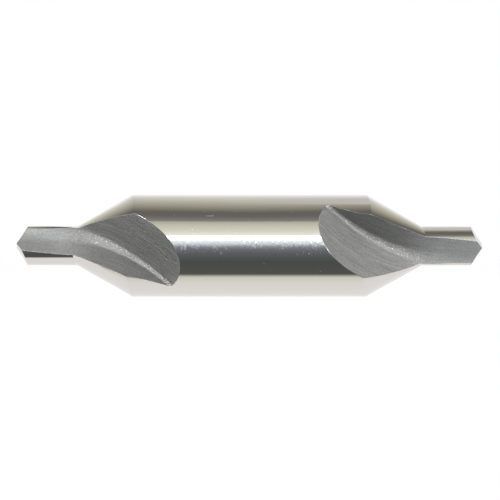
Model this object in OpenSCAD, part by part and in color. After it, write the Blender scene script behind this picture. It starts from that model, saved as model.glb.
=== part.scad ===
// Centre drill: a double-ended drill and countersink, ground from one bar of high-speed steel.
// The tool's axis is X and its middle is the origin. Both ends are alike: a short pilot drill, a
// countersink and two flutes, the second end being the first turned half round about Y.

/* [Body] */
// Overall length, from point to point
overall_length = 73.2; // [66:0.1:90]
// Diameter of the cylindrical body
body_d = 16; // [14:0.1:20]

/* [Pilot drill] */
// Diameter across the cutting corners of the pilot
pilot_d = 6.3; // [5:0.1:7]
// Length of the pilot, from the point to the countersink
pilot_length = 8.9; // [7:0.1:11]
// Included angle of the drill point
point_angle = 120; // [110:1:140]
// Turn of the point's chisel edge about the axis, up from the front
chisel_turn = 14; // [0:1:40]
// How far the round of a pilot land is set off the axis, so that it falls behind its cutting edge
pilot_relief = 0.09; // [0.05:0.01:0.2]

/* [Countersink] */
// Included angle of the countersink
countersink_angle = 60; // [60:1:90]
// How far the round of a countersink land is set off the axis
countersink_relief = 0.53; // [0.2:0.01:0.8]

/* [Flutes] */
// Place of the flute's corner across the point: distance behind the axis
floor_back = 1.35; // [1.2:0.01:1.5]
// Place of the flute's corner across the point: height above the axis
floor_rise = 2.15; // [2:0.01:2.3]
// Travel of the corner to the front for each millimetre along the pilot
pilot_out_rate = 0.178; // [0.16:0.001:0.2]
// Further travel to the front for each millimetre of the run-out
runout_out_rate = 0.181; // [0.16:0.001:0.21]
// Travel downwards for each millimetre of the run-out
runout_down_rate = 0.899; // [0.85:0.001:0.95]
// Stretch of the pilot, next to the countersink, along which the flute already bends
bend_lead = 3.8; // [3:0.1:5]
// Length over which the flute bends from the pilot's twist to the run-out
bend_length = 19.4; // [17:0.1:22]
// Radius of the flute's corner on the pilot
pilot_corner_r = 3.7; // [3:0.1:4.5]
// Radius of the flute's corner in the run-out
runout_corner_r = 0.85; // [0.5:0.05:1.4]
// Direction of the cutting face at the point, about the axis from the back
pilot_face_turn = 211; // [207:1:215]
// Further turn of the cutting face for each millimetre along the pilot
pilot_face_twist = 2.6; // [2:0.1:3.2]
// Direction of the cutting face in the run-out
runout_face_turn = 217; // [212:1:222]
// Direction of the flute's trailing wall
heel_wall_turn = 115; // [110:1:120]

/* [Hidden] */
$fn = 96;

body_r = body_d / 2;
pilot_r = pilot_d / 2;
// How far cutters and blanks reach past what they cut
clear = 1;
cone_slope = tan(countersink_angle / 2);
point_slope = tan(point_angle / 2);
// Distances along the tool are measured from one point
cone_apex = pilot_length - pilot_r / cone_slope;
bend_start = pilot_length - bend_lead;
bend_end = bend_start + bend_length;
flute_reach = body_d;
stations = 30;
corner_steps = 10;
// Directions of the upper land's cutting edge on the pilot and on the countersink
pilot_edge_turn = 20;
countersink_edge_turn = 33;
// Turn from a land's cutting edge to where the land is set in furthest
relief_lead = 125;
// Turn back from the cutting edge to the plane that parts the two lands, within the flutes
parting_lead = 15;

function turn(angle) = [cos(angle), sin(angle)];
function mix(a, b, t) = a + (b - a) * t;

// Share of the bend that lies behind a distance from the point, eased at both ends
function bend_share(s) = let (t = max(0, min(1, (s - bend_start) / bend_length))) t * t * (3 - 2 * t);

// Distance travelled in the run-out's direction, which sets in gently along the bend
function runout_travel(s) =
    s < bend_start ? 0 :
    s < bend_end ? pow(s - bend_start, 2) / (2 * bend_length) :
    s - (bend_start + bend_end) / 2;

// Corner where the flute's two walls would meet, as [back, up] from the axis
function flute_corner(s) = [
    floor_back - pilot_out_rate * s - runout_out_rate * runout_travel(s),
    floor_rise - runout_down_rate * runout_travel(s)
];

// Past this distance the trailing wall, and the flute with it, has left the body
wall_out = turn(heel_wall_turn + 90);
wall_gain = -[pilot_out_rate + runout_out_rate, runout_down_rate] * wall_out;
flute_end = bend_end + max(0, body_r + clear - flute_corner(bend_end) * wall_out) / wall_gain;

// Section of the flute across the axis: cutting face, rounded corner, trailing wall
function flute_section(s) =
    let (
        share = bend_share(s),
        r = mix(pilot_corner_r, runout_corner_r, share),
        pilot_face = pilot_face_turn + pilot_face_twist * min(s, pilot_length),
        face = mix(pilot_face, runout_face_turn, share),
        middle = (face + heel_wall_turn) / 2,
        half = (face - heel_wall_turn) / 2,
        centre = flute_corner(s) + r / sin(half) * turn(middle)
    )
    concat(
        [centre + r * turn(face + 90) + flute_reach * turn(face)],
        [for (i = [0:corner_steps])
            centre + r * turn(mix(face + 90, heel_wall_turn + 270, i / corner_steps))],
        [centre + r * turn(heel_wall_turn + 270) + flute_reach * turn(heel_wall_turn)]
    );

// Space that one flute takes out, lofted through its sections from before the point
module flute() {
    across = corner_steps + 3;
    points = [
        for (i = [0:stations])
            let (s = mix(-clear, flute_end, i / stations))
            for (p = flute_section(s)) [s, p.x, p.y]
    ];
    first_cap = [for (j = [0:across - 1]) j];
    last_cap = [for (j = [across - 1:-1:0]) stations * across + j];
    sides = [
        for (i = [0:stations - 1], j = [0:across - 1])
            let (
                a = i * across + j,
                d = i * across + (j + 1) % across
            )
            for (face = [[a, a + across, d + across], [a, d + across, d]]) face
    ];
    polyhedron(points = points, faces = concat([first_cap, last_cap], sides));
}

// Space outside the drill point: two flat flanks that meet in the chisel edge
module point_outside() {
    reach = pilot_r + clear;
    rotate([270 - chisel_turn, 0, 0])
        linear_extrude(2 * reach, center = true)
            polygon([
                [-2 * clear, -reach],
                [reach / point_slope, -reach],
                [0, 0],
                [reach / point_slope, reach],
                [-2 * clear, reach]
            ]);
}

// Two like halves, each a round that is set off the axis: each land falls away behind its cutting edge
module relieved(relief, edge_turn) {
    reach = 2 * body_d;
    for (half = [0, 180])
        rotate([edge_turn + half, 0, 0])
            intersection() {
                translate(-relief * [0, cos(relief_lead), sin(relief_lead)]) children();
                rotate([-parting_lead, 0, 0])
                    translate([-2 * clear, -reach, 0]) cube([overall_length + 3 * clear, 2 * reach, reach]);
            }
}

// What a round loses so that, once set off, it still meets its cutting edge
function edge_loss(relief) = -relief * cos(relief_lead);

// Round about the tool's axis, from a profile of [radius, distance from the point]
module round_along(profile) {
    rotate([0, 90, 0]) rotate_extrude() polygon(profile);
}

// Pilot of one end, still without its point and flutes
module pilot_blank() {
    r = pilot_r - edge_loss(pilot_relief);
    base = pilot_length + clear;
    relieved(pilot_relief, pilot_edge_turn) round_along([[0, -clear], [r, -clear], [r, base], [0, base]]);
}

// Countersink of one end: a relieved cone that opens towards the other end
module countersink_blank() {
    apex = cone_apex + edge_loss(countersink_relief) / cone_slope;
    wide_r = body_r + countersink_relief + clear;
    wide_at = apex + wide_r / cone_slope;
    relieved(countersink_relief, countersink_edge_turn)
        round_along([[0, apex], [wide_r, wide_at], [wide_r, overall_length], [0, overall_length]]);
}

// Both ends, each worked in its own distances from its point
module each_end() {
    for (half_turn = [0, 180])
        rotate([0, half_turn, 0]) translate([-overall_length / 2, 0, 0]) children();
}

module centre_drill() {
    color("#b9b8b4")
    difference() {
        union() {
            intersection() {
                rotate([0, 90, 0]) cylinder(d = body_d, h = overall_length, center = true);
                translate([-overall_length / 2, 0, 0]) countersink_blank();
                rotate([0, 180, 0]) translate([-overall_length / 2, 0, 0]) countersink_blank();
            }
            each_end() pilot_blank();
        }
        each_end() {
            point_outside();
            for (side = [0, 180]) rotate([side, 0, 0]) flute();
        }
    }
}

centre_drill();
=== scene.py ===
"""Studio picture of a centre drill: its ground form, its steel finishes and its lighting."""

import logging
import math
from collections.abc import Callable
from dataclasses import dataclass, field
from enum import Enum

import bpy
import numpy as np
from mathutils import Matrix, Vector


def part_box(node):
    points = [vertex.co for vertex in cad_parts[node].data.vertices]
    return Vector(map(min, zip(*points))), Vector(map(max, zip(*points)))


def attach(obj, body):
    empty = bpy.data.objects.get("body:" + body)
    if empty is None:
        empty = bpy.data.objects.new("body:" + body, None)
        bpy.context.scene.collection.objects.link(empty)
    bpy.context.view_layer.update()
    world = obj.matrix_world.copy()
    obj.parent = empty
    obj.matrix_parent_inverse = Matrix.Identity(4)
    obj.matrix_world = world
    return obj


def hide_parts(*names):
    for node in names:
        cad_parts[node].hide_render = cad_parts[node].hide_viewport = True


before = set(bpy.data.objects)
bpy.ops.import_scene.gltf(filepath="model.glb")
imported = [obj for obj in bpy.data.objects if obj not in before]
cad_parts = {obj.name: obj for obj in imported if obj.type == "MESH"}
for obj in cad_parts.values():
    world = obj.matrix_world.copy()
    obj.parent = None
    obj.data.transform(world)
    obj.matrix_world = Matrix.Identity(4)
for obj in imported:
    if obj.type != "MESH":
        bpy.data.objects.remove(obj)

LOG = logging.getLogger("centre_drill")
NODE = "centre_drill"
BODY = "root"
PATTERN_MAP = "pattern_mm"
CORNER_SHARE, WALL_SHARE = "corner_share", "wall_share"
MM = 0.001
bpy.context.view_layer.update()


class Skin(Enum):
    """Finishes of the tool's faces, in the order of its material slots."""

    LAND = 0
    FLUTE = 1
    FLANK = 2


class Zone(Enum):
    """Stretches of one end along which a land keeps one form."""

    PILOT = 0
    CONE = 1
    BODY = 2


class Edge(Enum):
    """Edges that bound a flute, in the order in which its sections list them."""

    CUTTING = 0
    HEEL = 1


def linear(hex_colour: str) -> tuple[float, float, float, float]:
    """Turn an sRGB colour into the linear values that shaders take.

    Args:
        hex_colour: Colour such as "#b9b8b4".

    Returns:
        Linear red, green and blue, and an alpha of one.
    """
    channels = [int(hex_colour[i:i + 2], 16) / 255 for i in (1, 3, 5)]
    red, green, blue = (c / 12.92 if c <= 0.04045 else ((c + 0.055) / 1.055) ** 2.4 for c in channels)
    return red, green, blue, 1.0


def turn(angle: np.ndarray | float) -> np.ndarray:
    """Give unit vectors [back, up] at angles about the tool's axis.

    Args:
        angle: Angles in degrees, from the back and rising over the top.

    Returns:
        Vectors, with their two coordinates last.
    """
    radians = np.radians(angle)
    return np.stack([np.cos(radians), np.sin(radians)], axis=-1)


def angle_of(place: np.ndarray) -> np.ndarray:
    """Give the angles about the axis, from 0 to 360 degrees, of places [back, up]."""
    return np.degrees(np.arctan2(place[..., 1], place[..., 0])) % 360


def mix(a: np.ndarray | float, b: np.ndarray | float, share: np.ndarray | float) -> np.ndarray | float:
    """Blend from a to b by a share of nought to one."""
    return a + (b - a) * share


@dataclass(frozen=True)
class ToolSizes:
    """Driving sizes of the tool, in millimetres and degrees, as in the part's source."""

    overall_length: float
    body_d: float
    pilot_d: float = 6.3
    pilot_length: float = 8.9
    point_angle: float = 120.0
    chisel_turn: float = 14.0
    pilot_relief: float = 0.09
    pilot_edge_turn: float = 20.0
    countersink_angle: float = 60.0
    countersink_relief: float = 0.53
    countersink_edge_turn: float = 33.0
    relief_lead: float = 125.0
    parting_lead: float = 15.0
    floor_back: float = 1.35
    floor_rise: float = 2.15
    pilot_out_rate: float = 0.178
    runout_out_rate: float = 0.181
    runout_down_rate: float = 0.899
    bend_lead: float = 3.8
    bend_length: float = 19.4
    pilot_corner_r: float = 3.7
    runout_corner_r: float = 0.85
    pilot_face_turn: float = 211.0
    pilot_face_twist: float = 2.6
    runout_face_turn: float = 217.0
    heel_wall_turn: float = 115.0

    @property
    def body_r(self) -> float:
        """Radius of the body."""
        return self.body_d / 2

    @property
    def cone_slope(self) -> float:
        """Gain in radius along the countersink, for each millimetre."""
        return math.tan(math.radians(self.countersink_angle / 2))

    @property
    def cone_apex(self) -> float:
        """Distance from the point at which the countersink's cone would start."""
        return self.pilot_length - self.pilot_d / 2 / self.cone_slope

    @property
    def bend_start(self) -> float:
        """Distance from the point at which the flute starts to bend."""
        return self.pilot_length - self.bend_lead


@dataclass(frozen=True)
class Flute:
    """One flute of an end: a rounded corner between a cutting face and a trailing wall.

    A place on its wall is a distance s from the point and a length along the section. Lengths under
    nought lie on the cutting face, then comes the corner's arc, and past it the trailing wall.
    """

    sizes: ToolSizes

    def corner(self, s: np.ndarray) -> np.ndarray:
        """Give where the two walls would meet.

        Args:
            s: Distances from the point.

        Returns:
            Places as [back, up] from the axis.
        """
        z = self.sizes
        along = (s - z.bend_start) / z.bend_length
        travel = z.bend_length * np.where(along < 0, 0, np.where(along < 1, along * along / 2, along - 0.5))
        return np.stack([
            z.floor_back - z.pilot_out_rate * s - z.runout_out_rate * travel,
            z.floor_rise - z.runout_down_rate * travel,
        ], axis=-1)

    def bend_share(self, s: np.ndarray) -> np.ndarray:
        """Give the share of the bend that lies behind distances from the point, eased at both ends."""
        share = np.clip((s - self.sizes.bend_start) / self.sizes.bend_length, 0, 1)
        return share * share * (3 - 2 * share)

    def _round(self, s: np.ndarray) -> tuple[np.ndarray, np.ndarray, np.ndarray]:
        """Give the corner's arc at distances from the point.

        Args:
            s: Distances from the point.

        Returns:
            Centres of the arc, its radii and the directions of the cutting face.
        """
        z = self.sizes
        share = self.bend_share(s)
        r = mix(z.pilot_corner_r, z.runout_corner_r, share)
        pilot_face = z.pilot_face_turn + z.pilot_face_twist * np.minimum(s, z.pilot_length)
        face = mix(pilot_face, z.runout_face_turn, share)
        half = np.radians((face - z.heel_wall_turn) / 2)
        centre = self.corner(s) + (r / np.sin(half))[..., None] * turn((face + z.heel_wall_turn) / 2)
        return centre, r, face

    def arc_length(self, s: np.ndarray) -> np.ndarray:
        """Give the length of the corner's arc at distances from the point."""
        _, r, face = self._round(s)
        return r * np.radians(self.sizes.heel_wall_turn + 180 - face)

    def wall(self, s: np.ndarray, length: np.ndarray) -> np.ndarray:
        """Give places on the flute's wall.

        Args:
            s: Distances from the point.
            length: Lengths along the section.

        Returns:
            Places as [back, up] from the axis.
        """
        centre, r, face = self._round(s)
        arc = self.arc_length(s)
        on_arc = np.clip(length, 0, arc)
        place = centre + r[..., None] * turn(face + 90 + np.degrees(on_arc / r))
        place = place + np.maximum(-length, 0)[..., None] * turn(face)
        return place + np.maximum(length - arc, 0)[..., None] * turn(self.sizes.heel_wall_turn)

    def normal(self, s: np.ndarray, length: np.ndarray) -> np.ndarray:
        """Give the wall's unit normals, out of the steel.

        Args:
            s: Distances from the point.
            length: Lengths along the section.

        Returns:
            Normals as [along, back, up].
        """
        step = 1e-4
        across = (self.wall(s, length + step) - self.wall(s, length - step)) / (2 * step)
        along = (self.wall(s + step, length) - self.wall(s - step, length)) / (2 * step)
        back, up = across[..., 0], across[..., 1]
        normal = np.stack([along[..., 0] * up - along[..., 1] * back, -up, back], axis=-1)
        return normal / np.linalg.norm(normal, axis=-1, keepdims=True)

    def end(self) -> float:
        """Find where the flute runs out.

        Returns:
            Distance from the point at which the trailing wall leaves the body.
        """
        z = self.sizes
        bend_end = z.bend_start + z.bend_length
        out = turn(z.heel_wall_turn + 90)
        gain = -np.array([z.pilot_out_rate + z.runout_out_rate, z.runout_down_rate]) @ out
        return bend_end + (z.body_r - float(self.corner(np.array(bend_end)) @ out)) / float(gain)


@dataclass(frozen=True)
class Lands:
    """Outer form of one end: relieved pilot, relieved countersink and body."""

    sizes: ToolSizes

    def _relief(self, zone: Zone) -> tuple[float, float]:
        """Give how a zone's lands are relieved.

        Args:
            zone: Which form.

        Returns:
            How far the zone's rounds are set off the axis, and the direction of its upper edge.
        """
        z = self.sizes
        return {
            Zone.PILOT: (z.pilot_relief, z.pilot_edge_turn),
            Zone.CONE: (z.countersink_relief, z.countersink_edge_turn),
            Zone.BODY: (0.0, 0.0),
        }[zone]

    def _behind_edge(self, zone: Zone, angle: np.ndarray) -> np.ndarray:
        """Give the turn from the cutting edge of its own land to each angle."""
        parting = self.sizes.parting_lead
        return (angle - self._relief(zone)[1] + parting) % 180 - parting

    def radius(self, zone: Zone, s: np.ndarray, angle: np.ndarray) -> np.ndarray:
        """Give radii of one zone's form; those of the cone stay small, but above nought, before its apex.

        Args:
            zone: Which form.
            s: Distances from the point.
            angle: Angles about the axis.

        Returns:
            Radii from the axis.
        """
        z = self.sizes
        relief = self._relief(zone)[0]
        edge_r = {
            Zone.PILOT: np.full_like(angle, z.pilot_d / 2),
            Zone.CONE: np.maximum((s - z.cone_apex) * z.cone_slope, 2 * z.countersink_relief),
            Zone.BODY: np.full_like(angle, z.body_r),
        }[zone]
        round_r = edge_r + relief * math.cos(math.radians(z.relief_lead))
        set_in = relief * np.cos(np.radians(self._behind_edge(zone, angle) - z.relief_lead))
        return np.sqrt(np.maximum(round_r ** 2 - relief ** 2 + set_in ** 2, 0)) - set_in

    def outer(self, s: np.ndarray, angle: np.ndarray) -> np.ndarray:
        """Give the blank's radii, before the flutes are ground."""
        cone = np.minimum(self.radius(Zone.CONE, s, angle), self.sizes.body_r)
        return np.maximum(self.radius(Zone.PILOT, s, angle), cone)

    def foot(self, angle: np.ndarray, zone: Zone) -> np.ndarray:
        """Give where a zone starts, along the tool.

        Args:
            angle: Angles about the axis.
            zone: The countersink, or the body.

        Returns:
            Distances from the point at which the countersink leaves the pilot or reaches the body.
        """
        z = self.sizes
        met = self.radius(Zone.PILOT if zone is Zone.CONE else Zone.BODY, np.zeros_like(angle), angle)
        relief = z.countersink_relief
        set_in = relief * np.cos(np.radians(self._behind_edge(Zone.CONE, angle) - z.relief_lead))
        round_r = np.sqrt((met + set_in) ** 2 + relief ** 2 - set_in ** 2)
        return z.cone_apex + (round_r - relief * math.cos(math.radians(z.relief_lead))) / z.cone_slope

    def normal(self, zone: Zone, s: np.ndarray, angle: np.ndarray) -> np.ndarray:
        """Give a zone's unit normals, out of the steel.

        Args:
            zone: Which form.
            s: Distances from the point.
            angle: Angles about the axis.

        Returns:
            Normals as [along, back, up].
        """
        z = self.sizes
        relief = self._relief(zone)[0]
        lead = angle - self._behind_edge(zone, angle) + z.relief_lead
        out = self.radius(zone, s, angle)[..., None] * turn(angle) + relief * turn(lead)
        out = out / np.linalg.norm(out, axis=-1, keepdims=True)
        slope = z.cone_slope if zone is Zone.CONE else 0.0
        normal = np.concatenate([np.full(out.shape[:-1] + (1,), -slope), out], axis=-1)
        return normal / math.hypot(1, slope)


@dataclass
class MeshParts:
    """Faces gathered for one mesh, each with its own normals, pattern places and finish."""

    places: np.ndarray = field(default_factory=lambda: np.zeros((0, 3)))
    shares: np.ndarray = field(default_factory=lambda: np.zeros((0, 2)))
    faces: list[list[int]] = field(default_factory=list)
    normals: list[np.ndarray] = field(default_factory=list)
    flats: list[np.ndarray] = field(default_factory=list)
    skins: list[Skin] = field(default_factory=list)

    def add_places(self, places: np.ndarray, shares: np.ndarray | None = None) -> np.ndarray:
        """Add points.

        Args:
            places: Points, with their three coordinates last.
            shares: How far each one lies in a flute's corner, and on its trailing wall; nought if left out.

        Returns:
            Numbers of the new points, in the shape that they came in.
        """
        count = int(np.prod(places.shape[:-1]))
        first = len(self.places)
        self.places = np.concatenate([self.places, places.reshape(-1, 3)])
        self.shares = np.concatenate([
            self.shares, np.zeros((count, 2)) if shares is None else shares.reshape(-1, 2),
        ])
        return first + np.arange(count).reshape(places.shape[:-1])

    def add_faces(self, corners: np.ndarray, normals: np.ndarray, flats: np.ndarray, skin: Skin) -> None:
        """Add faces of the same number of corners, turned to look out.

        Args:
            corners: Numbers of the points, by face and corner.
            normals: Normals, by face and corner.
            flats: Places on the finish's flat pattern, in millimetres, by face and corner.
            skin: Finish of the faces.
        """
        points = self.places[corners]
        area = np.cross(points, np.roll(points, -1, axis=1)).sum(axis=1)
        inward = (area * normals.sum(axis=1)).sum(axis=-1) < 0
        for face, normal, flat, flip in zip(corners, normals, flats, inward):
            kept = [i for i in range(len(face)) if face[i] != face[i - 1]]
            if len(kept) < 3:
                continue
            if flip:
                kept.reverse()
            self.faces.append(face[kept].tolist())
            self.normals.append(normal[kept])
            self.flats.append(flat[kept])
            self.skins.append(skin)

    def to_object(self, name: str) -> bpy.types.Object:
        """Make the mesh and its object.

        Args:
            name: Name of the object.

        Returns:
            The new object, in metres, with its pattern map in millimetres.
        """
        mesh = bpy.data.meshes.new(name)
        mesh.from_pydata((self.places * MM).tolist(), [], self.faces)
        pattern = mesh.uv_layers.new(name=PATTERN_MAP)
        pattern.uv.foreach_set("vector", np.concatenate(self.flats).astype(np.float32).ravel())
        for attribute, shares in zip((CORNER_SHARE, WALL_SHARE), self.shares.T):
            layer = mesh.attributes.new(attribute, "FLOAT", "POINT")
            layer.data.foreach_set("value", shares.astype(np.float32))
        mesh.polygons.foreach_set("material_index", [skin.value for skin in self.skins])
        mesh.polygons.foreach_set("use_smooth", [True] * len(mesh.polygons))
        mesh.normals_split_custom_set(np.concatenate(self.normals).tolist())
        piece = bpy.data.objects.new(name, mesh)
        bpy.context.scene.collection.objects.link(piece)
        return piece


@dataclass
class CentreDrill:
    """The whole tool as one mesh: two like ends and the body between them.

    Widths and lengths are in millimetres. Narrow strips break the edges: their two widths are those on
    the pilot and in the run-out. The torn corner of a flute, coarser and with a painted highlight, starts
    behind the pilot and gets narrower.
    """

    sizes: ToolSizes
    pilot_steps: int = 22
    cone_steps: int = 26
    runout_steps: int = 44
    wall_steps: int = 48
    land_steps: int = 60
    middle_steps: int = 12
    cutting_edge_widths: tuple[float, float] = (0.06, 0.03)
    heel_edge_widths: tuple[float, float] = (0.30, 0.015)
    widest_strip: float = 0.1
    arc_weight: float = 4.0
    arc_ease: float = 0.5
    arc_knots: int = 400
    edge_tries: int = 641
    edge_halvings: int = 50
    border_tries: int = 33
    border_rounds: int = 4
    ridge_tries: int = 4001
    tip_rounds: int = 60
    corner_start: float = 8.5
    corner_fade: float = 3.5
    corner_widest: float = 0.65
    corner_narrowest: float = 0.26

    def __post_init__(self) -> None:
        """Set up the forms that bound the steel."""
        self.flute = Flute(self.sizes)
        self.lands = Lands(self.sizes)
        self.flank_out = turn(270 - self.sizes.chisel_turn)
        self.point_slope = math.tan(math.radians(self.sizes.point_angle / 2))
        self.flute_end = self.flute.end()
        self.cone_row = self.pilot_steps
        self.body_row = self.pilot_steps + self.cone_steps
        self.rows = self.body_row + self.runout_steps + 1

    def _roof(self, place: np.ndarray) -> np.ndarray:
        """Give the distance from the point at which the point's flanks cut places across the axis."""
        return np.abs(place @ self.flank_out) / self.point_slope

    def _edge_length(self, s: np.ndarray, edge: Edge) -> np.ndarray:
        """Find where sections' walls meet the blank.

        Args:
            s: Distances from the point.
            edge: The cutting edge, or the heel.

        Returns:
            Lengths along the sections.
        """
        reach = 2 * self.sizes.body_d
        tries = np.linspace(-reach, reach, self.edge_tries)
        away = np.linalg.norm(self.flute.wall(s[:, None], tries[None, :]), axis=-1)
        inside = tries[np.argmin(away, axis=1)]
        outside = np.full_like(s, -reach if edge is Edge.CUTTING else reach)
        for _ in range(self.edge_halvings):
            middle = (inside + outside) / 2
            place = self.flute.wall(s, middle)
            within = np.linalg.norm(place, axis=-1) < self.lands.outer(s, angle_of(place))
            inside, outside = np.where(within, middle, inside), np.where(within, outside, middle)
        return (inside + outside) / 2

    def _meet(self, edge: Edge, low: float, high: float,
              miss: Callable[[np.ndarray, np.ndarray], np.ndarray]) -> float:
        """Find where an edge crosses a border of the lands.

        Args:
            edge: The cutting edge, or the heel.
            low: Distance from the point, before the border.
            high: Distance from the point, past the border.
            miss: Gives, for distances and places on the edge, how far past the border they lie.

        Returns:
            Distance from the point of the crossing.
        """
        for _ in range(self.border_rounds):
            s = np.linspace(low, high, self.border_tries)
            past = miss(s, self.flute.wall(s, self._edge_length(s, edge))) >= 0
            first = max(int(np.argmax(past)), 1)
            low, high = s[first - 1], s[first]
        return (low + high) / 2

    def _edge_stations(self, edge: Edge) -> np.ndarray:
        """Lay stations along an edge, with the corners of the lands among them.

        Args:
            edge: The cutting edge, or the heel.

        Returns:
            Distances from the point, by row.
        """
        z = self.sizes
        tip = self._meet(edge, 0, z.pilot_d, lambda s, place: s - self._roof(place))
        cone = self._meet(edge, z.bend_start, z.pilot_length + z.pilot_d,
                          lambda s, place: s - self.lands.foot(angle_of(place), Zone.CONE))
        body = self._meet(edge, z.pilot_length + z.pilot_d / 2, self.flute_end,
                          lambda s, place: s - self.lands.foot(angle_of(place), Zone.BODY))
        eased = 1 - (1 - np.linspace(0, 1, self.runout_steps + 1)) ** 2
        return np.concatenate([
            np.linspace(tip, cone, self.pilot_steps + 1)[:-1],
            np.linspace(cone, body, self.cone_steps + 1)[:-1],
            mix(body, self.flute_end, eased),
        ])

    def _zone_of(self, row: int) -> Zone:
        """Give the zone of the faces between a station and the next.

        Args:
            row: Number of the station.

        Returns:
            The zone.
        """
        if row < self.cone_row:
            return Zone.PILOT
        return Zone.CONE if row < self.body_row else Zone.BODY

    def _spread(self, shares: np.ndarray, s: float, heel: float, cutting: float) -> np.ndarray:
        """Spread columns along a section, closer together on the corner's arc.

        Args:
            shares: Share of the weighted length at each column, from the heel.
            s: Distance from the point.
            heel: Length along the section at the heel.
            cutting: Length along the section at the cutting edge.

        Returns:
            Length along the section at each column.
        """
        ease = self.arc_ease
        knots = np.linspace(heel, cutting, self.arc_knots)
        arc = float(self.flute.arc_length(np.array(s)))
        on_arc = np.clip((knots + ease) / ease, 0, 1) * np.clip((arc + ease - knots) / ease, 0, 1)
        weight = 1 + (self.arc_weight - 1) * on_arc
        gathered = np.concatenate([[0], np.cumsum((weight[1:] + weight[:-1]) / 2)])
        return np.interp(shares, gathered / gathered[-1], knots)

    def _column_shares(self, s: float, heel: float, cutting: float) -> np.ndarray:
        """Share out the wall's columns so that one of them starts at the chisel edge's end.

        Args:
            s: Distance from the point of the flute's first section.
            heel: Length along that section at the heel.
            cutting: Length along that section at the cutting edge.

        Returns:
            Share of the weighted length at each column, from the heel.
        """
        tries = np.linspace(0, 1, self.ridge_tries)
        lengths = self._spread(tries, s, heel, cutting)
        side = self.flute.wall(np.zeros_like(lengths), lengths) @ self.flank_out
        ridge = tries[int(np.argmin(np.abs(side)))]
        self.ridge_column = round(ridge * self.wall_steps)
        return np.concatenate([
            np.linspace(0, ridge, self.ridge_column + 1)[:-1],
            np.linspace(ridge, 1, self.wall_steps - self.ridge_column + 1),
        ])

    @staticmethod
    def _bent(plain: np.ndarray, exact: dict[int, np.ndarray]) -> np.ndarray:
        """Move a grid of stations so that some of its rows lie exactly on given curves.

        Args:
            plain: Distances from the point, by row and column.
            exact: Wanted distances of some rows, by row number.

        Returns:
            Distances from the point, eased between those rows.
        """
        rows = sorted(exact)
        miss = np.stack([exact[row] - plain[row] for row in rows], axis=-1)
        return plain + np.stack([np.interp(np.arange(len(plain)), rows, column) for column in miss], axis=1)

    def _lay_out(self) -> None:
        """Work out one half of one end: a flute's wall and the land behind its cutting edge."""
        s = {edge: self._edge_stations(edge) for edge in Edge}
        length = {edge: self._edge_length(s[edge][:-1], edge) for edge in Edge}
        vanish = (length[Edge.CUTTING][-1] + length[Edge.HEEL][-1]) / 2
        length = {edge: np.append(length[edge], vanish) for edge in Edge}
        angle = {edge: angle_of(self.flute.wall(s[edge], length[edge])) for edge in Edge}
        for edge in Edge:
            angle[edge][-1] = self.sizes.heel_wall_turn + 90

        inset = {
            edge: np.minimum(np.interp(s[edge], (self.sizes.bend_start, self.sizes.pilot_length), wide),
                             self.widest_strip * (length[Edge.HEEL] - length[Edge.CUTTING]))
            for edge, wide in ((Edge.CUTTING, self.cutting_edge_widths), (Edge.HEEL, self.heel_edge_widths))
        }
        heel = length[Edge.HEEL] - inset[Edge.HEEL]
        cutting = length[Edge.CUTTING] + inset[Edge.CUTTING]
        middle = (s[Edge.CUTTING] + s[Edge.HEEL]) / 2
        shares = self._column_shares(middle[0], heel[0], cutting[0])
        self.wall_length = np.stack([self._spread(shares, *row) for row in zip(middle, heel, cutting)])
        plain = mix(s[Edge.HEEL][:, None], s[Edge.CUTTING][:, None], shares)
        tip = plain[0]
        for _ in range(self.tip_rounds):
            tip = self._roof(self.flute.wall(tip, self.wall_length[0]))
        last = np.full_like(tip, self.flute_end)
        self.wall_s = self._bent(plain, {0: tip, self.cone_row: plain[self.cone_row], self.rows - 1: last})

        across = np.linspace(0, 1, self.land_steps + 1)
        first = angle[Edge.CUTTING] + np.degrees(
            inset[Edge.CUTTING] / self.lands.outer(s[Edge.CUTTING], angle[Edge.CUTTING]))
        final = 180 + angle[Edge.HEEL] - np.degrees(
            inset[Edge.HEEL] / self.lands.outer(s[Edge.HEEL], angle[Edge.HEEL]))
        self.land_angle = mix(first[:, None], final[:, None], across)
        plain = mix(s[Edge.CUTTING][:, None], s[Edge.HEEL][:, None], across)
        pilot_r = self.lands.radius(Zone.PILOT, plain[0], self.land_angle[0])
        self.land_s = self._bent(plain, {
            0: self._roof(pilot_r[:, None] * turn(self.land_angle[0])),
            self.cone_row: self.lands.foot(self.land_angle[self.cone_row], Zone.CONE),
            self.body_row: self.lands.foot(self.land_angle[self.body_row], Zone.BODY),
            self.rows - 1: np.full_like(across, self.flute_end),
        })

    def _half_places(self) -> np.ndarray:
        """Give the points of one half of an end.

        Returns:
            Points as [along, back, up] from the tool's middle, by row and column, the wall's columns first.
        """
        wall = self.flute.wall(self.wall_s, self.wall_length)
        wall = np.concatenate([self.wall_s[..., None], wall], axis=-1)
        land_r = np.stack([
            self.lands.radius(self._zone_of(min(row, self.rows - 2)), self.land_s[row], self.land_angle[row])
            for row in range(self.rows)
        ])
        land = np.concatenate([self.land_s[..., None], land_r[..., None] * turn(self.land_angle)], axis=-1)
        return np.concatenate([wall, land], axis=1) - np.array([self.sizes.overall_length / 2, 0, 0])

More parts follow.
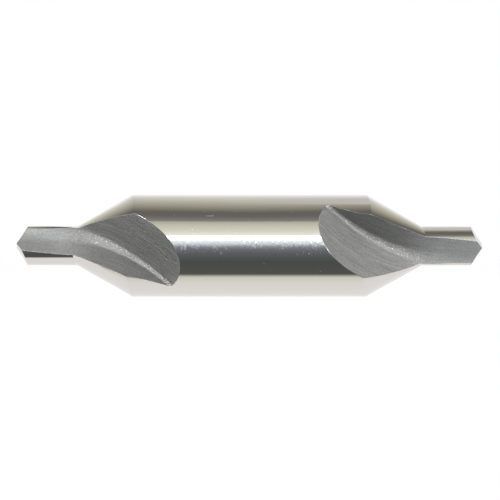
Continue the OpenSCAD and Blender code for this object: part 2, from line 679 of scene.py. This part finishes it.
    def _finish_shares(self) -> np.ndarray:
        """Give how the finish changes over a flute's wall, past the pilot.

        Returns:
            How far each point lies in the torn corner, which gets a painted highlight, and on the trailing
            wall, by row and column.
        """
        arc = self.flute.arc_length(self.wall_s)
        half = mix(self.corner_widest, self.corner_narrowest, self.flute.bend_share(self.wall_s))
        past_pilot = np.clip((self.wall_s - self.corner_start) / self.corner_fade, 0, 1)
        in_corner = np.clip(2 - np.abs(self.wall_length - arc / 2) / half, 0, 1)
        trailing = np.clip((self.wall_length - arc / 2) / (2 * half) - 0.5, 0, 1)
        return np.stack([in_corner, trailing], axis=-1) * past_pilot[..., None]

    @staticmethod
    def _carried(vectors: np.ndarray, half: int, end: int) -> np.ndarray:
        """Carry places or normals of the worked half to another half or end.

        Args:
            vectors: Vectors as [along, back, up], places measured from the tool's middle.
            half: 0, or 1 for the half across the axis.
            end: 0, or 1 for the other end.

        Returns:
            Vectors in the tool's own frame.
        """
        side = -1.0 if half else 1.0
        return vectors * np.array([-1.0 if end else 1.0, side, -side if end else side])

    def _add_end(self, parts: MeshParts, end: int) -> np.ndarray:
        """Add one end's faces.

        Args:
            parts: Where the faces go.
            end: 0, or 1 for the other end.

        Returns:
            Numbers of the points of the ring at which the plain body starts.
        """
        places = self._half_places()
        walls = self.wall_steps + 1
        shares = np.concatenate([self._finish_shares(), np.zeros((*self.land_s.shape, 2))], axis=1)
        flat = np.concatenate([
            np.stack([self.wall_s, self.wall_length], axis=-1),
            np.stack([self.land_s, np.radians(self.land_angle) * self.sizes.body_r], axis=-1),
        ], axis=1)
        number = np.zeros((2, *places.shape[:2]), int)
        for half in (0, 1):
            carried = self._carried(places, half, end)
            number[half, :-1] = parts.add_places(carried[:-1], shares[:-1])
            number[half, -1, walls:-1] = parts.add_places(carried[-1, walls:-1])
            number[half, -1, :walls] = number[half, -1, walls]
        number[:, -1, -1] = number[::-1, -1, walls]

        wall_normal = self.flute.normal(self.wall_s, self.wall_length)
        for row in range(self.rows - 1):
            pair = slice(row, row + 2)
            land_normal = self.lands.normal(self._zone_of(row), self.land_s[pair], self.land_angle[pair])
            normal = np.concatenate([wall_normal[pair], land_normal], axis=1)
            for half in (0, 1):
                ring = np.concatenate([number[half, pair], number[1 - half, pair, :1]], axis=1)
                ring_normal = np.concatenate([
                    self._carried(normal, half, end), self._carried(normal[:, :1], 1 - half, end),
                ], axis=1)
                ring_flat = np.concatenate([flat[pair], flat[pair, :1]], axis=1)
                quads = [np.stack([g[0, :-1], g[1, :-1], g[1, 1:], g[0, 1:]], axis=1)
                         for g in (ring, ring_normal, ring_flat)]
                chamfer = ring_normal[:, -2:].sum(axis=(0, 1))
                quads[1][-1] = chamfer / np.linalg.norm(chamfer)
                parts.add_faces(*(q[:walls - 1] for q in quads), Skin.FLUTE)
                parts.add_faces(*(q[walls - 1:] for q in quads), Skin.LAND)
        self._add_flanks(parts, number, end)
        return number[:, -1, walls:-1].ravel()

    def _add_flanks(self, parts: MeshParts, number: np.ndarray, end: int) -> None:
        """Add the two flat flanks of one point.

        Args:
            parts: Where the faces go.
            number: Numbers of the end's points, by half, row and column.
            end: 0, or 1 for the other end.
        """
        out = np.array([-self.point_slope, *self.flank_out])
        out = out / np.linalg.norm(out)
        for half in (0, 1):
            ring = np.concatenate([
                number[half, 0, self.ridge_column:], number[1 - half, 0, :self.ridge_column + 1],
            ])
            normals = np.tile(self._carried(out, half, end), (1, len(ring), 1))
            parts.add_faces(ring[None], normals, parts.places[ring][None, :, 1:], Skin.FLANK)

    def _add_middle(self, parts: MeshParts, rings: list[np.ndarray]) -> None:
        """Add the plain body between the two ends.

        Args:
            parts: Where the faces go.
            rings: Points at which it starts and stops.
        """
        start, stop = (parts.places[ring] for ring in rings)
        turns = [angle_of(ring[:, 1:]) for ring in (start, stop)]
        first = int(np.argmin(np.abs((turns[1] - turns[0][0] + 180) % 360 - 180)))
        facing = rings[1][(first - np.arange(len(start))) % len(start)]
        levels = np.linspace(0, 1, self.middle_steps + 1)[1:-1, None, None]
        between = parts.add_places(mix(start, parts.places[facing], levels))
        grid = np.concatenate([rings[0][None], between, facing[None]])
        grid = np.concatenate([grid, grid[:, :1]], axis=1)
        quads = np.stack([grid[:-1, :-1], grid[1:, :-1], grid[1:, 1:], grid[:-1, 1:]], axis=-1).reshape(-1, 4)
        corners = parts.places[quads]
        normals = corners * np.array([0, 1, 1]) / self.sizes.body_r
        parts.add_faces(quads, normals, corners[..., :2], Skin.LAND)

    def build(self) -> bpy.types.Object:
        """Make the tool's mesh and give it its finishes.

        Returns:
            The new object.
        """
        self._lay_out()
        parts = MeshParts()
        rings = [self._add_end(parts, end) for end in (0, 1)]
        self._add_middle(parts, rings)
        piece = parts.to_object("centre_drill_tool")
        for finish in (GROUND_LAND, SATIN_FLUTE, GROUND_FLANK):
            piece.data.materials.append(finish.material())
        return piece


def add_node(tree: bpy.types.NodeTree, kind: str, settings: dict[str | int, object] | None = None,
             links: dict[str | int, bpy.types.NodeSocket] | None = None) -> bpy.types.Node:
    """Add a node with its settings and links.

    Args:
        tree: Node tree that it goes into.
        kind: Blender's name of the node's type.
        settings: Values of its properties by name, or of its inputs by name or number.
        links: Output sockets that feed its inputs, by input name or number.

    Returns:
        The new node.
    """
    node = tree.nodes.new(kind)
    for name, value in (settings or {}).items():
        if isinstance(name, str) and name in node.bl_rna.properties:
            setattr(node, name, value)
        else:
            node.inputs[name].default_value = value
    for name, socket in (links or {}).items():
        tree.links.new(socket, node.inputs[name])
    return node


def new_material(name: str) -> tuple[bpy.types.Material, bpy.types.NodeTree]:
    """Make a material with an empty node tree.

    Args:
        name: Name of the material.

    Returns:
        The material and its tree.
    """
    material = bpy.data.materials.new(name)
    material.use_nodes = True
    material.node_tree.nodes.clear()
    return material, material.node_tree


@dataclass(frozen=True)
class GroundSteel:
    """High-speed steel, cylindrically ground and polished.

    The eye sees a mirror whose bands waver. Patches of short marks around the axis, on the front where the
    body has been gripped, drag the brightest band down into the dark one. A faint swell runs along the
    steel, and handling has left small nicks and scratches that sparkle. The wheel's own marks are finer
    than the picture shows, so they are drawn wider. Sizes are in millimetres, apart from a scratch's,
    which is a share of the spacing.
    """

    name: str
    colour: str
    roughness: float
    mark_width: float = 0.22
    mark_length: float = 1.0
    mark_depth: float = 0.05
    mark_roughness: float = 0.3
    dull_range: tuple[float, float] = (0.5, 0.7)
    ungripped_share: float = 0.06
    patch_size: float = 4.0
    patch_range: tuple[float, float] = (0.30, 0.60)
    grip_height: float = -0.4
    grip_half: float = 2.0
    grip_end: float = 22.0
    grip_fade: float = 1.0
    swell_length: float = 2.5
    swell_depth: float = 0.006
    nick_spacing: float = 1.2
    nick_size: float = 0.1
    scratch_spacing: tuple[float, float] = (16.0, 1.4)
    scratch_size: float = 0.06
    nick_roughness: float = 0.5

    def _gripped(self, tree: bpy.types.NodeTree, place: bpy.types.NodeSocket) -> bpy.types.NodeSocket:
        """Add nodes that give how strong the marks are at each place.

        Args:
            tree: Node tree that they go into.
            place: Socket with the place in metres.

        Returns:
            Socket with a share of nought to one.
        """
        split = add_node(tree, "ShaderNodeSeparateXYZ", {}, {0: place}).outputs
        off = add_node(tree, "ShaderNodeMath", {"operation": "SUBTRACT", 1: self.grip_height * MM},
                       {0: split["Z"]}).outputs[0]
        aside, off = (add_node(tree, "ShaderNodeMath", {"operation": "ABSOLUTE"}, {0: value}).outputs[0]
                      for value in (split["X"], off))
        patches = add_node(tree, "ShaderNodeTexNoise", {"Scale": 1 / (MM * self.patch_size), "Detail": 1.0},
                           {"Vector": place}).outputs["Fac"]
        share = None
        for value, low, high in (
            (off, self.grip_half * MM, (self.grip_half - self.grip_fade) * MM),
            (aside, self.grip_end * MM, (self.grip_end - self.grip_fade) * MM),
            (split["Y"], 0.0, -self.grip_fade * MM),
            (patches, *self.patch_range),
        ):
            part = add_node(tree, "ShaderNodeMapRange", {"From Min": low, "From Max": high}, {"Value": value})
            share = part.outputs[0] if share is None else add_node(
                tree, "ShaderNodeMath", {"operation": "MULTIPLY"}, {0: share, 1: part.outputs[0]}).outputs[0]
        return share

    def material(self) -> bpy.types.Material:
        """Make the finish's material.

        Returns:
            The material.
        """
        material, tree = new_material(self.name)
        place = add_node(tree, "ShaderNodeTexCoord").outputs["Object"]
        gripped = self._gripped(tree, place)
        metre = 1 / MM
        around = metre / self.mark_length
        fine = add_node(tree, "ShaderNodeMapping", {"Scale": (metre / self.mark_width, around, around)},
                        {"Vector": place}).outputs["Vector"]
        marks = add_node(tree, "ShaderNodeTexNoise", {"Scale": 1.0, "Detail": 2.0, "Roughness": 0.5},
                         {"Vector": fine}).outputs["Fac"]
        depth = add_node(tree, "ShaderNodeMapRange", {
            "To Min": self.ungripped_share * self.mark_depth * MM, "To Max": self.mark_depth * MM,
        }, {"Value": gripped}).outputs["Result"]
        swell = add_node(tree, "ShaderNodeTexNoise", {"Scale": metre / self.swell_length, "Detail": 1.0},
                         {"Vector": place}).outputs["Fac"]
        bumps = add_node(tree, "ShaderNodeBump", {"Distance": self.swell_depth * MM}, {"Height": swell})
        bumps = add_node(tree, "ShaderNodeBump", {},
                         {"Height": marks, "Distance": depth, "Normal": bumps.outputs["Normal"]})
        low, high = self.dull_range
        dull = add_node(tree, "ShaderNodeMapRange", {
            "From Min": low, "From Max": high, "To Max": self.mark_roughness - self.roughness,
        }, {"Value": marks}).outputs["Result"]
        rough = add_node(tree, "ShaderNodeMath", {"operation": "MULTIPLY_ADD", 2: self.roughness},
                         {0: dull, 1: gripped}).outputs[0]
        along, across = (metre / spacing for spacing in self.scratch_spacing)
        long = add_node(tree, "ShaderNodeMapping", {"Scale": (along, across, across)}, {"Vector": place})
        for scale, size, where in (
            (metre / self.nick_spacing, self.nick_size / self.nick_spacing, place),
            (1.0, self.scratch_size, long.outputs["Vector"]),
        ):
            nicks = add_node(tree, "ShaderNodeTexVoronoi", {"Scale": scale}, {"Vector": where})
            nicked = add_node(tree, "ShaderNodeMapRange", {
                "From Min": size / 2, "From Max": size, "To Min": self.nick_roughness, "To Max": 0.0,
            }, {"Value": nicks.outputs["Distance"]}).outputs["Result"]
            rough = add_node(tree, "ShaderNodeMath", {"operation": "MAXIMUM"},
                             {0: rough, 1: nicked}).outputs[0]
        shader = add_node(tree, "ShaderNodeBsdfPrincipled", {
            "Base Color": linear(self.colour), "Metallic": 1.0,
        }, {"Roughness": rough, "Normal": bumps.outputs["Normal"]})
        add_node(tree, "ShaderNodeOutputMaterial", {}, {"Surface": shader.outputs["BSDF"]})
        return material


@dataclass(frozen=True)
class FluteSteel:
    """High-speed steel as a dressed wheel leaves it in a flute, not polished afterwards.

    The eye sees a dull grey with light and dark streaks along the flute, and a coarser corner where the
    wheel's edge has torn the steel. Light is painted into the colour: the corner gets a lighter grey, a
    painted highlight, and bright painted glints, and the pilot's flute gets a lighter grey than the rest,
    painted light. The wheel's own marks are a few hundredths of a millimetre wide: the streaks and the
    grain are drawn coarser, so that they show. Sizes are in millimetres. A pair of tones or depths is for
    the cutting face and the trailing wall.
    """

    name: str
    pilot_lit_colour: str
    wall_colour: str
    corner_highlight_colour: str
    roughness: float
    streak_width: float = 0.36
    streak_length: float = 4.5
    streak_tones: tuple[float, float] = (0.5, 1.05)
    streak_depths: tuple[float, float] = (0.01, 0.09)
    grain_size: float = 0.24
    grain_range: tuple[float, float] = (0.3, 0.7)
    grain_tone: float = 0.14
    grain_depth: float = 0.03
    corner_grain_depth: float = 0.10
    glint_range: tuple[float, float] = (0.60, 0.72)
    glint_tone: float = 0.9
    pilot_fade: tuple[float, float] = (7.0, 12.0)

    def material(self) -> bpy.types.Material:
        """Make the finish's material.

        Returns:
            The material.
        """
        material, tree = new_material(self.name)
        flat = add_node(tree, "ShaderNodeUVMap", {"uv_map": PATTERN_MAP}).outputs["UV"]
        place = add_node(tree, "ShaderNodeTexCoord").outputs["Object"]
        corner, trailing = (add_node(tree, "ShaderNodeAttribute", {"attribute_name": name}).outputs["Fac"]
                            for name in (CORNER_SHARE, WALL_SHARE))
        tones, depths = (
            add_node(tree, "ShaderNodeMapRange", {"To Min": low * scale, "To Max": high * scale},
                     {"Value": trailing}).outputs["Result"]
            for (low, high), scale in ((self.streak_tones, 1.0), (self.streak_depths, MM))
        )
        along = add_node(tree, "ShaderNodeMapping", {
            "Scale": (1 / self.streak_length, 1 / self.streak_width, 1.0),
        }, {"Vector": flat}).outputs["Vector"]
        streaks = add_node(tree, "ShaderNodeTexNoise", {
            "Scale": 1.0, "Detail": 4.0, "Roughness": 0.65, "Distortion": 0.5,
        }, {"Vector": along}).outputs["Fac"]
        grain = add_node(tree, "ShaderNodeTexNoise", {"Scale": 1 / (MM * self.grain_size), "Detail": 2.0},
                         {"Vector": place}).outputs["Fac"]
        low, high = self.grain_range
        shade = add_node(tree, "ShaderNodeMapRange", {
            "From Min": low, "From Max": high, "To Min": 1 - self.grain_tone, "To Max": 1 + self.grain_tone,
        }, {"Value": grain}).outputs["Result"]
        swing = add_node(tree, "ShaderNodeMath", {"operation": "SUBTRACT", 1: 0.5}, {0: streaks}).outputs[0]
        shade = add_node(tree, "ShaderNodeMath", {"operation": "MULTIPLY_ADD"},
                         {0: swing, 1: tones, 2: shade}).outputs[0]
        # Painted glints: bright specks added to the colour where the grain peaks in the corner
        low, high = self.glint_range
        painted_glints = add_node(tree, "ShaderNodeMapRange", {
            "From Min": low, "From Max": high, "To Max": self.glint_tone,
        }, {"Value": grain}).outputs["Result"]
        shade = add_node(tree, "ShaderNodeMath", {"operation": "MULTIPLY_ADD"},
                         {0: painted_glints, 1: corner, 2: shade}).outputs[0]
        # Painted light: the pilot's flute is painted a lighter grey than the rest of the flute, fading to the
        # wall's grey over pilot_fade
        split = add_node(tree, "ShaderNodeSeparateXYZ", {}, {0: flat})
        low, high = self.pilot_fade
        past_pilot = add_node(tree, "ShaderNodeMapRange", {"From Min": low, "From Max": high},
                              {"Value": split.outputs["X"]}).outputs["Result"]
        tone = add_node(tree, "ShaderNodeMix", {
            "data_type": "RGBA", 6: linear(self.pilot_lit_colour), 7: linear(self.wall_colour),
        }, {0: past_pilot}).outputs[2]
        # Painted highlight: the corner is mixed towards a lighter grey
        tone = add_node(tree, "ShaderNodeMix", {"data_type": "RGBA", 7: linear(self.corner_highlight_colour)},
                        {0: corner, 6: tone}).outputs[2]
        colour = add_node(tree, "ShaderNodeMix", {"data_type": "RGBA", "blend_type": "MULTIPLY", 0: 1.0},
                          {6: tone, 7: shade}).outputs[2]
        depth = add_node(tree, "ShaderNodeMapRange", {
            "To Min": self.grain_depth * MM, "To Max": self.corner_grain_depth * MM,
        }, {"Value": corner}).outputs["Result"]
        bumps = add_node(tree, "ShaderNodeBump", {}, {"Height": streaks, "Distance": depths})
        bumps = add_node(tree, "ShaderNodeBump", {}, {
            "Height": grain, "Distance": depth, "Normal": bumps.outputs["Normal"],
        })
        shader = add_node(tree, "ShaderNodeBsdfPrincipled", {"Metallic": 1.0, "Roughness": self.roughness}, {
            "Base Color": colour, "Normal": bumps.outputs["Normal"],
        })
        add_node(tree, "ShaderNodeOutputMaterial", {}, {"Surface": shader.outputs["BSDF"]})
        return material


GROUND_LAND = GroundSteel("ground_high_speed_steel", "#d8d4d0", 0.08)
# Flute greys: the pilot's is lighter as painted light, then the wall's, then the corner's, lighter as a
# painted highlight
SATIN_FLUTE = FluteSteel("wheel_ground_high_speed_steel_flute", "#b2b2b3", "#999997", "#b6b5b3", 0.72)
GROUND_FLANK = GroundSteel("ground_high_speed_steel_flank", "#c9c7c3", 0.2)


@dataclass(frozen=True)
class ScreenStop:
    """Brightness and tint of the studio's screen at one height above the front."""

    height: float
    level: float
    tint: str


WARM, TAUPE, OLIVE, WHITE = "#fffbe8", "#fffaf4", "#fbffee", "#ffffff"
COOL, TEAL, PAPER = "#eaf5ff", "#f0f7f6", "#fbfbfa"
# The pale floor in front, a dark card on it, a strip lamp, a light wall, a dark gap and the ceiling
SCREEN_STOPS = (
    ScreenStop(-66, 1.0, WHITE), ScreenStop(-56, 0.97, WHITE), ScreenStop(-48.5, 0.86, OLIVE),
    ScreenStop(-44.5, 0.13, TEAL), ScreenStop(-28, 0.11, TEAL), ScreenStop(-14, 0.18, COOL),
    ScreenStop(-7, 0.26, COOL), ScreenStop(-1.5, 0.42, COOL), ScreenStop(3.5, 0.95, COOL),
    ScreenStop(8, 1.3, COOL), ScreenStop(13.5, 1.4, WHITE), ScreenStop(14.5, 9.0, WHITE),
    ScreenStop(19.5, 9.0, WHITE), ScreenStop(20.5, 1.25, WHITE), ScreenStop(32, 0.97, OLIVE),
    ScreenStop(46, 0.77, OLIVE), ScreenStop(52.5, 0.62, OLIVE), ScreenStop(56, 0.30, TAUPE),
    ScreenStop(67, 0.19, TAUPE), ScreenStop(77, 0.18, TAUPE), ScreenStop(85, 0.29, WARM),
    ScreenStop(95, 0.44, WARM), ScreenStop(120, 0.74, OLIVE), ScreenStop(150, 1.0, WHITE),
)
# Cards of one level, each with the height at which it starts
REFLECTOR = ScreenStop(105, 0.72, WHITE)
LEFT_SOFTBOX = ScreenStop(24, 2.4, WHITE)
RIGHT_SOFTBOX = ScreenStop(24, 4.2, WHITE)
BACK_CARD = ScreenStop(172, 0.22, COOL)


@dataclass(frozen=True)
class Studio:
    """Pale floor, white surround with a dark and light screen, and a level camera.

    Lengths are in millimetres, and angles in degrees above the front. Towards the sides the screen's upper
    bands bow up, and those of the floor's card bow down.
    """

    camera_distance: float = 1500.0
    picture_width: float = 78.67
    aim_right: float = 0.11
    aim_down: float = 0.66
    sensor_width: float = 36.0
    floor_drop: float = 8.02
    floor_width: float = 8000.0
    floor_white: float = 0.75
    arc_step: float = 3.0
    screen_r: float = 95.0
    screen_length: float = 800.0
    screen_high: float = 150.0
    screen_bow: float = 24.0
    screen_bow_heights: tuple[float, float] = (45.0, 80.0)
    card_near: float = 3.5
    card_drop: float = 7.95
    card_length: float = 110.0
    card_bow: float = 16.0
    card_bow_places: tuple[float, float] = (20.0, 27.0)
    card_bow_heights: tuple[float, float] = (-20.0, -30.0)
    reflector_r: float = 93.0
    reflector_high: float = 134.0
    reflector_left: float = -5.0
    reflector_right: float = 60.0
    card_fade: float = 25.0
    back_card_near: float = 20.0
    back_card_spans: tuple[tuple[float, float], ...] = ((-330, -85), (-36, 36), (85, 330))
    softbox_high: float = 66.0
    softbox_near: float = 48.0
    softbox_far: float = 105.0
    lamp_height: float = 900.0
    lamp_width: float = 700.0
    lamp_power: float = 4.0

    def _mesh(self, name: str, verts: list[tuple[float, float, float]], faces: list[tuple[int, ...]],
              material: bpy.types.Material) -> bpy.types.Object:
        """Add a mesh that belongs to the studio.

        Args:
            name: Name of the object.
            verts: Points in millimetres.
            faces: Numbers of each face's points.
            material: What it is made of.

        Returns:
            The new object.
        """
        mesh = bpy.data.meshes.new(name)
        mesh.from_pydata([[c * MM for c in v] for v in verts], [], faces)
        mesh.materials.append(material)
        piece = bpy.data.objects.new(name, mesh)
        bpy.context.scene.collection.objects.link(piece)
        return piece

    def add_camera(self) -> None:
        """Add a level camera in front, at the height of the tool."""
        data = bpy.data.cameras.new("camera")
        data.sensor_width = self.sensor_width
        data.lens = self.sensor_width * self.camera_distance / self.picture_width
        camera = bpy.data.objects.new("camera", data)
        camera.location = Vector((self.aim_right, -self.camera_distance, -self.aim_down)) * MM
        camera.rotation_euler = (math.pi / 2, 0, 0)
        bpy.context.scene.collection.objects.link(camera)
        bpy.context.scene.camera = camera

    def add_world(self) -> None:
        """Give the world a plain white, which the camera, the steel and the floor see alike."""
        world = bpy.data.worlds.new("white_studio")
        bpy.context.scene.world = world
        world.use_nodes = True
        tree = world.node_tree
        tree.nodes.clear()
        white = add_node(tree, "ShaderNodeBackground", {"Color": linear(WHITE), "Strength": 1.0})
        add_node(tree, "ShaderNodeOutputWorld", {}, {"Surface": white.outputs[0]})

    def add_floor(self) -> None:
        """Add a pale floor, on which the tool lies: mostly plain white, with the tool's shadow."""
        material, tree = new_material("pale_paper_floor")
        path = add_node(tree, "ShaderNodeLightPath")
        paper = add_node(tree, "ShaderNodeBsdfDiffuse", {"Color": linear(PAPER)})
        white = add_node(tree, "ShaderNodeEmission", {"Color": linear(WHITE), "Strength": 1.0})
        part = add_node(tree, "ShaderNodeMath", {"operation": "MULTIPLY", 1: self.floor_white},
                        {0: path.outputs["Is Camera Ray"]})
        for ray in ("Is Glossy Ray", "Is Transmission Ray"):
            part = add_node(tree, "ShaderNodeMath", {"operation": "MAXIMUM"},
                            {0: part.outputs[0], 1: path.outputs[ray]})
        both = add_node(tree, "ShaderNodeMixShader", {}, {
            0: part.outputs[0], 1: paper.outputs[0], 2: white.outputs[0],
        })
        add_node(tree, "ShaderNodeOutputMaterial", {}, {"Surface": both.outputs[0]})
        half, low = self.floor_width / 2, -self.floor_drop
        verts = [(-half, -half, low), (half, -half, low), (half, half, low), (-half, half, low)]
        self._mesh("floor", verts, [(0, 1, 2, 3)], material)

    def _screen_cloth(self) -> bpy.types.Material:
        """Make the screen's material: bands by height above the front, which bow near the sides.

        Returns:
            The material.
        """
        material, tree = new_material("studio_screen_cloth")
        place = add_node(tree, "ShaderNodeTexCoord").outputs["Object"]
        split = add_node(tree, "ShaderNodeSeparateXYZ", {}, {0: place})
        front = add_node(tree, "ShaderNodeMath", {"operation": "MULTIPLY", 1: -1.0}, {0: split.outputs["Y"]})
        height = add_node(tree, "ShaderNodeMath", {"operation": "ARCTAN2"},
                          {0: split.outputs["Z"], 1: front.outputs[0]})
        aside = add_node(tree, "ShaderNodeMath", {"operation": "ABSOLUTE"}, {0: split.outputs["X"]})
        bowed = height
        for most, (near, far), (start, stop) in (
            (-self.screen_bow, (0.0, self.screen_r), self.screen_bow_heights),
            (self.card_bow, self.card_bow_places, self.card_bow_heights),
        ):
            bow = add_node(tree, "ShaderNodeMapRange", {
                "From Min": near * MM, "From Max": far * MM, "To Max": math.radians(most),
            }, {"Value": aside.outputs[0]})
            share = add_node(tree, "ShaderNodeMapRange", {
                "From Min": math.radians(start), "From Max": math.radians(stop),
            }, {"Value": height.outputs[0]})
            bowed = add_node(tree, "ShaderNodeMath", {"operation": "MULTIPLY_ADD"},
                             {0: bow.outputs[0], 1: share.outputs[0], 2: bowed.outputs[0]})
        first, last = SCREEN_STOPS[0].height, SCREEN_STOPS[-1].height
        share = add_node(tree, "ShaderNodeMapRange", {
            "From Min": math.radians(first), "From Max": math.radians(last),
        }, {"Value": bowed.outputs[0]})
        ramp = add_node(tree, "ShaderNodeValToRGB", {}, {0: share.outputs[0]})
        stripe = ramp.color_ramp.elements
        while len(stripe) < len(SCREEN_STOPS):
            stripe.new(0.5)
        top = max(stop.level for stop in SCREEN_STOPS)
        for element, stop in zip(stripe, SCREEN_STOPS):
            element.position = (stop.height - first) / (last - first)
            element.color = [c * stop.level / top for c in linear(stop.tint)[:3]] + [1.0]
        glow = add_node(tree, "ShaderNodeEmission", {"Strength": top}, {"Color": ramp.outputs["Color"]})
        add_node(tree, "ShaderNodeOutputMaterial", {}, {"Surface": glow.outputs[0]})
        return material

    def _plain_cloth(self, name: str, glow: ScreenStop, left: float) -> bpy.types.Material:
        """Make a card's material: one light level, which fades in from the card's left end.

        Args:
            name: Name of the material.
            glow: Its brightness and tint.
            left: Where the card starts along the tool.

        Returns:
            The material.
        """
        material, tree = new_material(name)
        place = add_node(tree, "ShaderNodeTexCoord").outputs["Object"]
        split = add_node(tree, "ShaderNodeSeparateXYZ", {}, {0: place})
        share = add_node(tree, "ShaderNodeMapRange", {
            "From Min": left * MM, "From Max": (left + self.card_fade) * MM,
        }, {"Value": split.outputs["X"]})
        clear = add_node(tree, "ShaderNodeBsdfTransparent")
        light = add_node(tree, "ShaderNodeEmission", {"Color": linear(glow.tint), "Strength": glow.level})
        both = add_node(tree, "ShaderNodeMixShader", {}, {
            0: share.outputs[0], 1: clear.outputs[0], 2: light.outputs[0],
        })
        add_node(tree, "ShaderNodeOutputMaterial", {}, {"Surface": both.outputs[0]})
        return material

    def _arc(self, radius: float, low: float, high: float) -> list[tuple[float, float]]:
        """Give points (y, z) of an arc about the tool's axis.

        Args:
            radius: Distance from the axis.
            low: Height angle above the front at which it starts, in degrees.
            high: Height angle at which it stops.

        Returns:
            The points, in steps of about arc_step.
        """
        steps = math.ceil((high - low) / self.arc_step)
        angles = [math.radians(mix(low, high, i / steps)) for i in range(steps + 1)]
        return [(-radius * math.cos(a), radius * math.sin(a)) for a in angles]

    def _add_card(self, name: str, line: list[tuple[float, float]], left: float, right: float,
                  material: bpy.types.Material) -> None:
        """Add a card that only mirrors see, swept along the tool.

        Args:
            name: Name of the object.
            line: Points (y, z) of its section.
            left: Where it starts along the tool.
            right: Where it stops.
            material: What it is made of.
        """
        verts = [(x, y, z) for y, z in line for x in (left, right)]
        faces = [(2 * i, 2 * i + 1, 2 * i + 3, 2 * i + 2) for i in range(len(line) - 1)]
        card = self._mesh(name, verts, faces, material)
        card.visible_camera = False
        card.visible_shadow = False
        card.visible_diffuse = False

    def add_screen(self) -> None:
        """Add what the steel mirrors: a curved screen, floor and back cards, a reflector, softboxes."""
        cloth = self._screen_cloth()
        foot = -math.degrees(math.asin(self.card_drop / self.screen_r))
        curve = self._arc(self.screen_r, foot, self.screen_high)
        half = self.screen_length / 2
        self._add_card("studio_screen", curve, -half, half, cloth)
        half = self.card_length / 2
        self._add_card("floor_card", [(-self.card_near, -self.card_drop), curve[0]], -half, half, cloth)
        for name, glow, high, left, right in (
            ("reflector_card", REFLECTOR, self.reflector_high, self.reflector_left, self.reflector_right),
            ("left_softbox", LEFT_SOFTBOX, self.softbox_high, -self.softbox_far, -self.softbox_near),
            ("right_softbox", RIGHT_SOFTBOX, self.softbox_high, self.softbox_near, self.softbox_far),
        ):
            cloth = self._plain_cloth(name + "_cloth", glow, left)
            self._add_card(name, self._arc(self.reflector_r, glow.height, high), left, right, cloth)
        curve = self._arc(self.screen_r, BACK_CARD.height, 180 - foot)
        curve.append((self.back_card_near, -self.card_drop))
        for number, (left, right) in enumerate(self.back_card_spans):
            cloth = self._plain_cloth(f"back_card_cloth_{number}", BACK_CARD, left)
            self._add_card(f"back_card_{number}", curve, left, right, cloth)

    def add_lamp(self) -> None:
        """Add a soft lamp overhead, which the steel doesn't mirror."""
        data = bpy.data.lights.new("overhead_lamp", "AREA")
        data.energy = self.lamp_power
        data.size = self.lamp_width * MM
        lamp = bpy.data.objects.new("overhead_lamp", data)
        lamp.location = (0, 0, self.lamp_height * MM)
        lamp.visible_glossy = False
        bpy.context.scene.collection.objects.link(lamp)

    def build(self) -> None:
        """Set up the whole studio."""
        bpy.context.scene.view_settings.view_transform = "Standard"
        self.add_camera()
        self.add_world()
        self.add_floor()
        self.add_screen()
        self.add_lamp()


def main() -> None:
    """Build the tool and its studio."""
    logging.basicConfig(level=logging.INFO, format="%(message)s")
    low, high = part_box(NODE)
    extent = (high - low) / MM
    tool = CentreDrill(ToolSizes(overall_length=round(extent.x, 2), body_d=round(extent.z, 2))).build()
    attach(tool, BODY)
    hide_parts(NODE)
    LOG.info("%s: %d faces", tool.name, len(tool.data.polygons))
    Studio().build()


if __name__ == "__main__":
    main()
